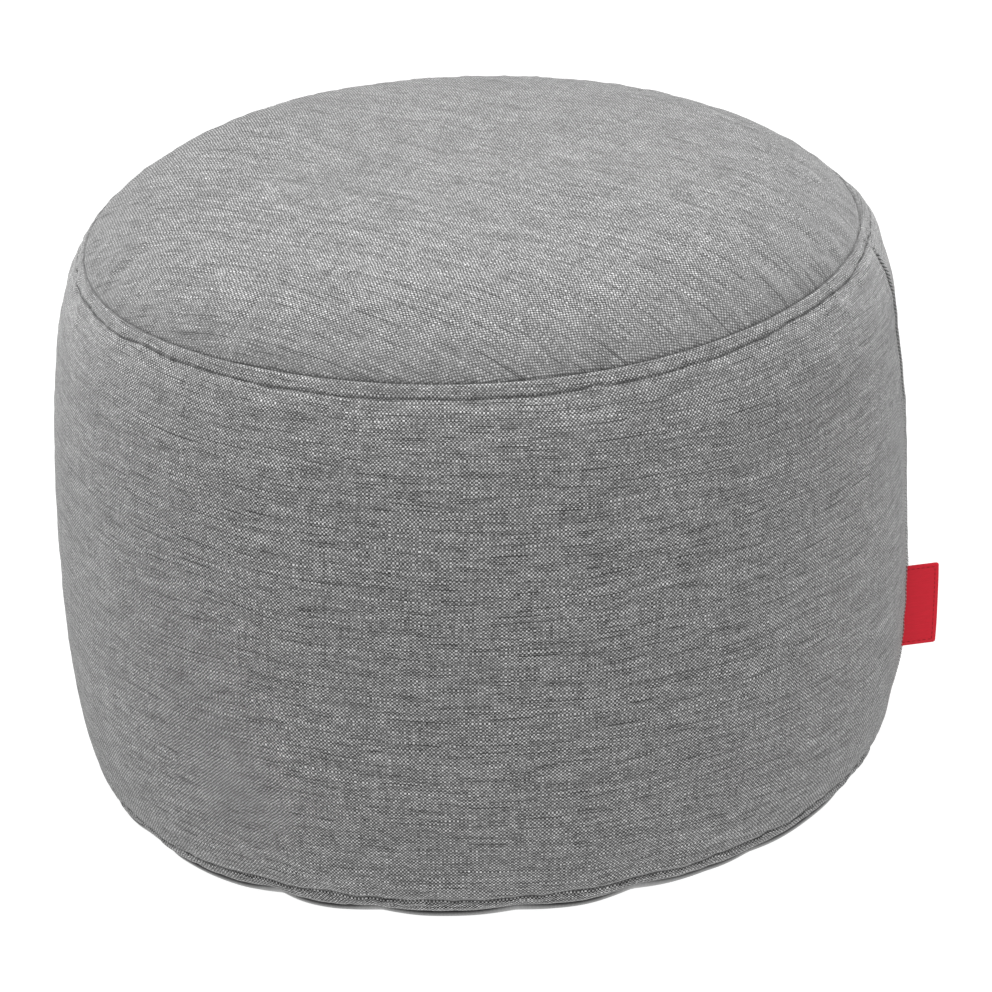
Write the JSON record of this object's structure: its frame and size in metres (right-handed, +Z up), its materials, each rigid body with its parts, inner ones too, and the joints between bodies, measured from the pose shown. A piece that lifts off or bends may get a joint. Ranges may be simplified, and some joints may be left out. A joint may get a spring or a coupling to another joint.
{
  "type": "bean bag footstool",
  "caption": "Round drum-shaped bean bag footstool in grey woven cloth, with a crowned top, topstitched seams and a plain red tag in its side seam.",
  "frame": {"origin": "centre of the flat resting face, on the floor", "axes": "+Z up; -Y towards the front as pictured; +X towards the upright seam and its tag"},
  "size_m": [0.5171, 0.4998, 0.3703],
  "materials": {
    "cloth": "mid-grey melange basket weave, matt with a pale sheen at grazing angles",
    "tag": "plain red folded tape with a stitched border"
  },
  "bodies": {
    "root": {"side_panel": "cloth", "seat_panel": "cloth", "base_panel": "cloth", "label": "tag"}
  },
  "joints": []
}
